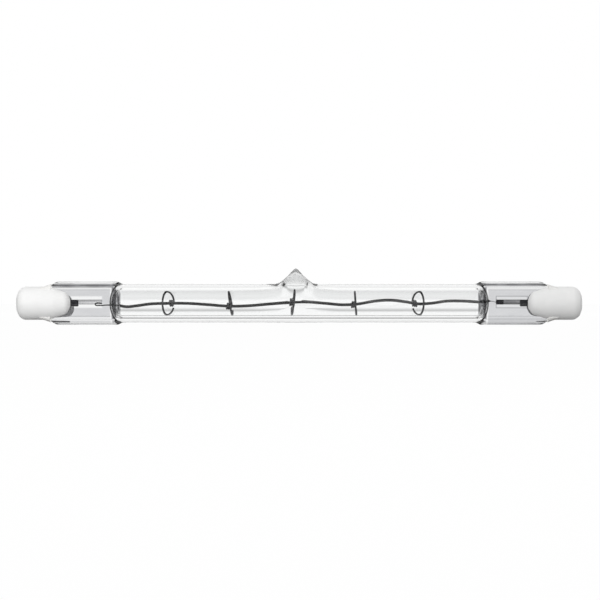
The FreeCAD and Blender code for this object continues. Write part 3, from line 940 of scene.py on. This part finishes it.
def shoulder_shade(tree, place, aside, height, right):
    """Painted shade on the shoulders at the tube's ends, with a darker painted rim across each."""
    off_shoulder_along = beyond(tree, aside, SHOULDER_MIDDLE, SHOULDER_REACH, PRESSED_EDGE)
    off_shoulder_across = beyond(tree, height, AXIS_HEIGHT, SHOULDER_WIDTH, PRESSED_EDGE)
    off_shoulder = math_node(tree, "MAXIMUM", off_shoulder_along, off_shoulder_across)
    # Mottle in the painted shade on the shoulders and rims
    shoulder_mottle = noise(tree, place, scale=900, detail=2.0, roughness=0.5)
    painted_shoulder_shade = spread_value(tree, shoulder_mottle, low=0.75, high=1.0)
    shoulder = mixed(tree, off_shoulder, painted_shoulder_shade, 0.0)
    shoulder = math_node(tree, "MULTIPLY", shoulder, SHOULDER_SHADE)
    off_rims = [beyond(tree, aside, middle, RIM_REACH, RIM_EDGE) for middle in RIM_MIDDLES]
    off_rim_across = beyond(tree, height, AXIS_HEIGHT, RIM_WIDTH, RIM_EDGE)
    off_rim = math_node(tree, "MAXIMUM", mixed(tree, right, *off_rims), off_rim_across)
    rim = mixed(tree, off_rim, spread_value(tree, shoulder_mottle, low=0.9, high=1.1), 0.0)
    return math_node(tree, "MAXIMUM", shoulder, rim)


def rail_shade(tree, place, aside, height, right, seal):
    """Painted shade on the rails: a line on the upper bevels, one on the lower left, and the lower
    rails.
    """
    lumps = noise(tree, place, scale=420, detail=2.0, roughness=0.5, stretch=(1, 0.2, 0.2))
    lumps = spread_value(tree, lumps, low=0.86, high=1.14)
    off_bevels = [
        beyond(tree, height, AXIS_HEIGHT + middle, BEVEL_REACH, BEVEL_EDGE)
        for middle in BEVEL_MIDDLES
    ]
    off_bevel = mixed(tree, right, *off_bevels)
    past_tube = beyond(tree, aside, 0.0, BEVEL_START, PRESSED_EDGE)
    bevel = mixed(tree, off_bevel, past_tube, 0.0)
    bevel = math_node(tree, "MULTIPLY", bevel, lumps)
    off_low_bevel = beyond(
        tree, height, AXIS_HEIGHT - LOW_BEVEL_MIDDLE, LOW_BEVEL_REACH, BEVEL_EDGE,
    )
    near_cap = beyond(tree, aside, 0.0, LOW_BEVEL_START, PRESSED_EDGE)
    low_bevel = mixed(tree, off_low_bevel, mixed(tree, right, near_cap, 0.0), 0.0)
    low_bevel = math_node(tree, "MULTIPLY", low_bevel, lumps)
    low = math_node(tree, "LESS_THAN", height, (AXIS_HEIGHT - PRESSED_WIDTH) * METRE)
    low_shade = mixed(tree, right, *LOW_RAIL_SHADES)
    low_rail = math_node(tree, "MULTIPLY", low, seal)
    low_rail = math_node(tree, "MULTIPLY", low_rail, low_shade)
    rail = math_node(tree, "MAXIMUM", bevel, low_bevel)
    return math_node(tree, "MAXIMUM", rail, low_rail)


def quartz_shade(tree, place):
    """How dark the quartz is: clear tube, greyer webs, and painted shade on the shoulders and rails."""
    along, _, height = separated(tree, place)
    aside = math_node(tree, "ABSOLUTE", along)
    right = math_node(tree, "GREATER_THAN", along, 0.0)
    seal = beyond(tree, aside, 0.0, PRESSED_START, PRESSED_EDGE)
    web = web_shade(tree, place, aside, height, right, seal)
    shoulder = shoulder_shade(tree, place, aside, height, right)
    rail = rail_shade(tree, place, aside, height, right, seal)
    shade = math_node(tree, "MAXIMUM", web, shoulder)
    return math_node(tree, "MAXIMUM", shade, rail)


def tip_frost(tree, place):
    """Roughness of the quartz: polished, but lightly frosted where the exhaust tip was sealed."""
    along, _, height = separated(tree, place)
    off_tip = beyond(tree, along, TIP_OFFSET, FROST_REACH, FROST_EDGE)
    above = beyond(tree, height, AXIS_HEIGHT, FROST_FOOT, FROST_EDGE)
    cloud = noise(tree, place, scale=1300, detail=3.0, roughness=0.6)
    cloud = spread_value(tree, cloud, *FROST_ROUGHNESS)
    frost = mixed(tree, off_tip, above, 0.0)
    return math_node(tree, "MULTIPLY", frost, cloud)


def quartz_material():
    """Clear quartz, tinted where it was pressed, with painted shade on its shoulders and rails, and
    frosted at its tip.
    """
    material, tree, shader, place = new_material("clear_quartz")
    colour = ramp(tree, quartz_shade(tree, place), [
        (0.0, (0.985, 0.99, 0.99)),
        (WEB_SHADE, (0.64, 0.645, 0.66)),
        # The two darkest stops are painted shade on the shoulders, rims and rails
        (0.9, (0.12, 0.12, 0.13)),
        (1.0, (0.015, 0.015, 0.017)),
    ])
    tree.links.new(colour, shader.inputs["Base Color"])
    tree.links.new(tip_frost(tree, place), shader.inputs["Roughness"])
    shader.inputs["IOR"].default_value = 1.458
    shader.inputs["Transmission Weight"].default_value = 1.0
    ripple = noise(tree, place, scale=260, detail=2.0, roughness=0.5, stretch=(0.35, 1, 1))
    bump(tree, shader, ripple, strength=0.04, distance=0.00002)
    return material


def metal_material(name, dark, light, roughness, scale):
    """A bare metal with a faint grain in its colour and gloss."""
    material, tree, shader, place = new_material(name)
    shader.inputs["Metallic"].default_value = 1.0
    grain = noise(tree, place, scale, detail=4.0, roughness=0.6)
    tree.links.new(ramp(tree, grain, [(0.3, dark), (0.7, light)]), shader.inputs["Base Color"])
    tree.links.new(spread_value(tree, grain, *roughness), shader.inputs["Roughness"])
    bump(tree, shader, grain, strength=0.15, distance=0.00001)
    return material


def foil_material(name, dark, light, edge):
    """A foil's metal with painted shade along its thin edges, darker there by a factor."""
    material, tree, shader, place = new_material(name)
    shader.inputs["Metallic"].default_value = 1.0
    _, _, height = separated(tree, place)
    shaded_edge_mask = beyond(tree, height, AXIS_HEIGHT + FOIL_RISE, FOIL_BODY, FOIL_BODY_EDGE)
    grain = noise(tree, place, scale=900, detail=4.0, roughness=0.6, stretch=(0.2, 1, 1))
    level = math_node(tree, "MULTIPLY", grain, mixed(tree, shaded_edge_mask, 1.0, edge))
    colour = ramp(tree, level, [(0.0, (0, 0, 0)), (0.3, dark), (0.7, light)])
    tree.links.new(colour, shader.inputs["Base Color"])
    tree.links.new(spread_value(tree, grain, low=0.15, high=0.3), shader.inputs["Roughness"])
    bump(tree, shader, grain, strength=0.15, distance=0.00001)
    return material


def steatite_material():
    """Matte white ceramic with faint clouds and a fine grain."""
    material, tree, shader, place = new_material("white_steatite")
    cloud = noise(tree, place, scale=420, detail=3.0, roughness=0.55)
    grain = noise(tree, place, scale=6500, detail=3.0, roughness=0.6)
    colour = ramp(tree, cloud, [(0.3, (0.865, 0.866, 0.862)), (0.7, (0.905, 0.905, 0.9))])
    tree.links.new(colour, shader.inputs["Base Color"])
    tree.links.new(spread_value(tree, grain, low=0.45, high=0.7), shader.inputs["Roughness"])
    bump(tree, shader, grain, strength=0.12, distance=0.00002)
    return material


def cement_material():
    """Rough off-white cement."""
    material, tree, shader, place = new_material("rough_cement")
    lumps = noise(tree, place, scale=1800, detail=5.0, roughness=0.65)
    colour = ramp(tree, lumps, [(0.3, (0.8, 0.795, 0.775)), (0.7, (0.9, 0.895, 0.88))])
    tree.links.new(colour, shader.inputs["Base Color"])
    shader.inputs["Roughness"].default_value = 0.9
    bump(tree, shader, lumps, strength=0.5, distance=0.00008)
    return material


def paint(piece, material):
    """Gives a piece its only material."""
    piece.data.materials.clear()
    piece.data.materials.append(material)


def paint_node(name, material):
    """Gives a CAD node's own object a finer material."""
    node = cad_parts[name]
    if node.material_slots:
        for each in node.material_slots:
            each.material = material
    else:
        node.data.materials.append(material)


def build_lamp():
    """Builds every piece of the lamp and gives it its material."""
    # The supports' and the coil's tungsten are painted near black as painted shade, and the coil darker
    # still
    tungsten = metal_material(
        "tungsten_painted_dark", dark=(0.012, 0.012, 0.014), light=(0.05, 0.05, 0.055),
        roughness=(0.4, 0.65), scale=3000,
    )
    coil_painted_dark = metal_material(
        "coil_painted_dark", dark=(0.003, 0.003, 0.004), light=(0.014, 0.014, 0.016),
        roughness=(0.45, 0.7), scale=3000,
    )
    # The same foil metal with painted light on the left and painted shade on the right, whose edges are
    # painted nearly black
    foils = {
        "left": foil_material(
            "foil_painted_lighter", dark=(0.45, 0.45, 0.46), light=(0.65, 0.65, 0.66), edge=0.45,
        ),
        "right": foil_material(
            "foil_painted_darker", dark=(0.3, 0.3, 0.31), light=(0.5, 0.5, 0.51), edge=0.05,
        ),
    }
    # The leads' metal is painted near black as painted shade
    dark_painted_leads = metal_material(
        "leads_painted_dark", dark=(0.015, 0.015, 0.018), light=(0.05, 0.05, 0.055),
        roughness=(0.25, 0.45), scale=1500,
    )
    nickel = metal_material(
        "plain_nickel", dark=(0.58, 0.55, 0.5), light=(0.72, 0.7, 0.66),
        roughness=(0.2, 0.4), scale=1500,
    )
    steatite = steatite_material()
    cement = cement_material()
    paint(quartz_envelope(), quartz_material())
    paint(filament_coil(), coil_painted_dark)
    for index in range(len(SUPPORT_PLACES)):
        paint(wire_support(index), tungsten)
    for side, sign in (("left", -1), ("right", 1)):
        paint(end_cap(side, sign), steatite)
        paint(contact_button(side, sign), nickel)
        paint_node(f"{side}_cap_cement", cement)
        paint(cement_fillets(side, sign), cement)
        paint(seal_foil(side, sign), foils[side])
        paint(flattened_wire(f"{side}_lead_outside", OUTER_LEAD, sign, f"{side}_outer_lead"), dark_painted_leads)
    paint(flattened_wire("right_lead_inside", RIGHT_INNER_LEAD, 1, "right_inner_lead"), dark_painted_leads)
    paint(hairpin_lead(), dark_painted_leads)


def gloss_or_glass(tree, path):
    """1 for rays that gloss or glass sends on."""
    glossy = path.outputs["Is Glossy Ray"]
    through = path.outputs["Is Transmission Ray"]
    return math_node(tree, "ADD", glossy, through)


def build_world():
    """A white studio: white as seen, grey round the sides in gloss and glass, softer as light."""
    world = bpy.data.worlds.new("studio")
    bpy.context.scene.world = world
    world.use_nodes = True
    tree = world.node_tree
    background = tree.nodes["Background"]
    background.inputs["Color"].default_value = (1, 1, 1, 1)
    path = tree.nodes.new("ShaderNodeLightPath")
    place = tree.nodes.new("ShaderNodeTexCoord")
    split = tree.nodes.new("ShaderNodeSeparateXYZ")
    tree.links.new(place.outputs["Generated"], split.inputs[0])
    aside = math_node(tree, "ABSOLUTE", split.outputs["X"])
    height = spread_value(tree, split.outputs["Z"], 0.0, 1.0, -1.0)
    depth = spread_value(tree, split.outputs["Y"], 0.0, 1.0, -1.0)
    wall = level_ramp(tree, aside, WORLD_ASIDE)
    walls = mixed(tree, level_ramp(tree, height, WORLD_WALL), 1.0, wall)
    heights = level_ramp(tree, height, WORLD_HEIGHT)
    depths = level_ramp(tree, depth, WORLD_DEPTH)
    depths_in_glass = level_ramp(tree, depth, WORLD_DEPTH_IN_GLASS)
    depths = mixed(tree, path.outputs["Is Transmission Ray"], depths, depths_in_glass)
    room = math_node(tree, "MULTIPLY", walls, heights)
    room = math_node(tree, "MULTIPLY", room, depths)
    room = mixed(tree, level_ramp(tree, aside, WORLD_ENDS), room, WORLD_ENDS_LEVEL)
    room = mixed(tree, level_ramp(tree, height, WORLD_BELOW), room, WORLD_BELOW_LEVEL)
    behind = level_ramp(tree, depth, WORLD_BACK)
    behind = math_node(tree, "MULTIPLY", behind, level_ramp(tree, height, WORLD_BACK))
    behind = mixed(tree, path.outputs["Is Transmission Ray"], behind, 0.0)
    room = mixed(tree, behind, room, WORLD_BACK_LEVEL)
    card = level_ramp(tree, height, WORLD_CARD_HEIGHT)
    card = math_node(tree, "MULTIPLY", card, level_ramp(tree, depth, WORLD_CARD_DEPTH))
    room = mixed(tree, card, room, WORLD_CARD_LEVEL)
    light = level_ramp(tree, height, WORLD_LIGHT)
    level = mixed(tree, gloss_or_glass(tree, path), light, room)
    level = mixed(tree, path.outputs["Is Camera Ray"], level, 1.0)
    tree.links.new(level, background.inputs["Strength"])


def build_floor():
    """A pale floor that is white to the eye and keeps a soft shadow."""
    half = FLOOR_HALF
    mesh = bpy.data.meshes.new("floor")
    corners = [(-half, -half, 0), (half, -half, 0), (half, half, 0), (-half, half, 0)]
    mesh.from_pydata(corners, [], [(0, 1, 2, 3)])
    floor = bpy.data.objects.new("floor", mesh)
    bpy.context.scene.collection.objects.link(floor)
    material = bpy.data.materials.new("pale_floor")
    material.use_nodes = True
    tree = material.node_tree
    tree.nodes.remove(tree.nodes["Principled BSDF"])
    matte = tree.nodes.new("ShaderNodeBsdfDiffuse")
    matte.inputs["Color"].default_value = (*[FLOOR_COLOUR] * 3, 1)
    glow = tree.nodes.new("ShaderNodeEmission")
    mix = tree.nodes.new("ShaderNodeMixShader")
    path = tree.nodes.new("ShaderNodeLightPath")
    share = mixed(tree, gloss_or_glass(tree, path), 0.0, FLOOR_GLOW_IN_GLASS)
    share = mixed(tree, path.outputs["Is Camera Ray"], share, FLOOR_GLOW)
    tree.links.new(share, mix.inputs[0])
    tree.links.new(matte.outputs[0], mix.inputs[1])
    tree.links.new(glow.outputs[0], mix.inputs[2])
    tree.links.new(mix.outputs[0], tree.nodes["Material Output"].inputs["Surface"])
    mesh.materials.append(material)
    floor.visible_transmission = False


def area_light(name, place, target, size, power):
    """A rectangular light at a place, turned to a target."""
    lamp = bpy.data.lights.new(name, "AREA")
    lamp.shape = "RECTANGLE"
    lamp.size, lamp.size_y = size
    lamp.energy = power
    light = bpy.data.objects.new(name, lamp)
    light.location = place
    light.rotation_euler = (Vector(target) - Vector(place)).to_track_quat("-Z", "Y").to_euler()
    bpy.context.scene.collection.objects.link(light)
    return light


def build_lights():
    """Strips before and behind and a small fill: they light the caps and aren't mirrored."""
    middle = (0, 0, AXIS_HEIGHT * METRE)
    key = area_light("front_strip", KEY_PLACE, middle, KEY_SIZE, KEY_POWER)
    back = area_light("back_strip", BACK_PLACE, middle, KEY_SIZE, BACK_POWER)
    fill = area_light("left_fill", FILL_PLACE, FILL_TARGET, FILL_SIZE, FILL_POWER)
    for light in (key, back, fill):
        light.visible_camera = False
        light.visible_glossy = False
        light.visible_transmission = False


def build_camera():
    """A level camera before the lamp."""
    data = bpy.data.cameras.new("camera")
    data.lens = CAMERA_LENS
    data.sensor_width = CAMERA_SENSOR
    data.clip_start, data.clip_end = CAMERA_CLIP
    camera = bpy.data.objects.new("camera", data)
    camera.location = CAMERA_PLACE
    camera.rotation_euler = (math.pi / 2, 0, 0)
    bpy.context.scene.collection.objects.link(camera)
    bpy.context.scene.camera = camera


bpy.context.scene.view_settings.view_transform = "Standard"
build_camera()
build_world()
build_floor()
build_lights()
build_lamp()
